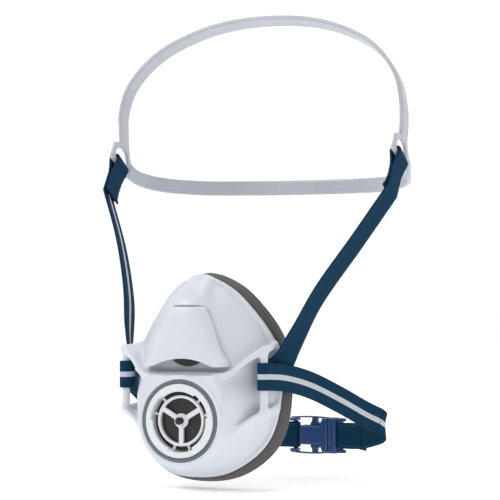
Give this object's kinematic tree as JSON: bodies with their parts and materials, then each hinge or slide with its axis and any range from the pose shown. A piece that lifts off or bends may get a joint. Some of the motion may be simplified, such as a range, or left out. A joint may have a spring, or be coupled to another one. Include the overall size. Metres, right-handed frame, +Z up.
{
  "type": "respirator",
  "caption": "Half-mask respirator facepiece with a bayonet filter socket, an exhalation valve under a hood, and a head harness with a crown cradle and a neck buckle.",
  "frame": {"origin": "on the filter socket's axis, in the plane of the socket's mouth", "axes": "+Z up, the socket faces -Y, +X to the wearer's left"},
  "size_m": [0.187, 0.1722, 0.2701],
  "materials": {
    "shell_plastic": "satin",
    "seal_rubber": "matte",
    "gasket_rubber": "matte",
    "valve_rubber": "satin",
    "webbing": "woven",
    "cradle_plastic": "translucent satin",
    "buckle_plastic": "satin"
  },
  "bodies": {
    "root": {"outer_shell": "shell_plastic", "face_seal": "seal_rubber", "face_seal_cup": "seal_rubber", "socket_gasket": "gasket_rubber", "bayonet_socket": "shell_plastic", "inhalation_seat": "shell_plastic", "exhalation_seat": "shell_plastic", "left_upper_strap": "webbing", "right_upper_strap": "webbing", "left_neck_strap": "webbing", "left_strap_return": "webbing", "right_neck_strap": "webbing", "head_cradle": "cradle_plastic", "buckle_female": "buckle_plastic"},
    "exhalation_flap": {"exhalation_valve": "valve_rubber"},
    "inhalation_flap": {"inhalation_valve": "valve_rubber"},
    "hood": {"valve_cover": "shell_plastic"},
    "male_half": {"buckle_male": "buckle_plastic", "left_strap_end": "webbing"},
    "upper_prong": {"buckle_prong_upper": "buckle_plastic"},
    "lower_prong": {"buckle_prong_lower": "buckle_plastic"}
  },
  "joints": [
    {"name": "exhalation_valve_lift", "type": "slide", "parent": "root", "child": "exhalation_flap", "axis": [0, -1, 0], "range_m": [0, 0.0015], "stiffness_N_per_m": 10},
    {"name": "inhalation_valve_lift", "type": "slide", "parent": "root", "child": "inhalation_flap", "axis": [0, 1, 0], "range_m": [0, 0.0012], "stiffness_N_per_m": 10},
    {"name": "hood_hinge", "type": "hinge", "parent": "root", "child": "hood", "pos_m": [0, 0.0058, 0.0622], "axis": [-1, 0, 0], "range_deg": [0, 25]},
    {"name": "buckle_release", "type": "slide", "parent": "root", "child": "male_half", "axis": [1, 0, 0], "range_m": [0, 0.016], "deforming": ["left_strap_return", "buckle_prong_upper", "buckle_prong_lower"]},
    {"name": "upper_prong_press", "type": "hinge", "parent": "male_half", "child": "upper_prong", "pos_m": [0.0376, 0.125, -0.0085], "axis": [0, -1, 0], "range_deg": [0, 8], "stiffness_Nm_per_rad": 0.0005},
    {"name": "lower_prong_press", "type": "hinge", "parent": "male_half", "child": "lower_prong", "pos_m": [0.0376, 0.125, -0.0215], "axis": [0, 1, 0], "range_deg": [0, 8], "stiffness_Nm_per_rad": 0.0005}
  ]
}
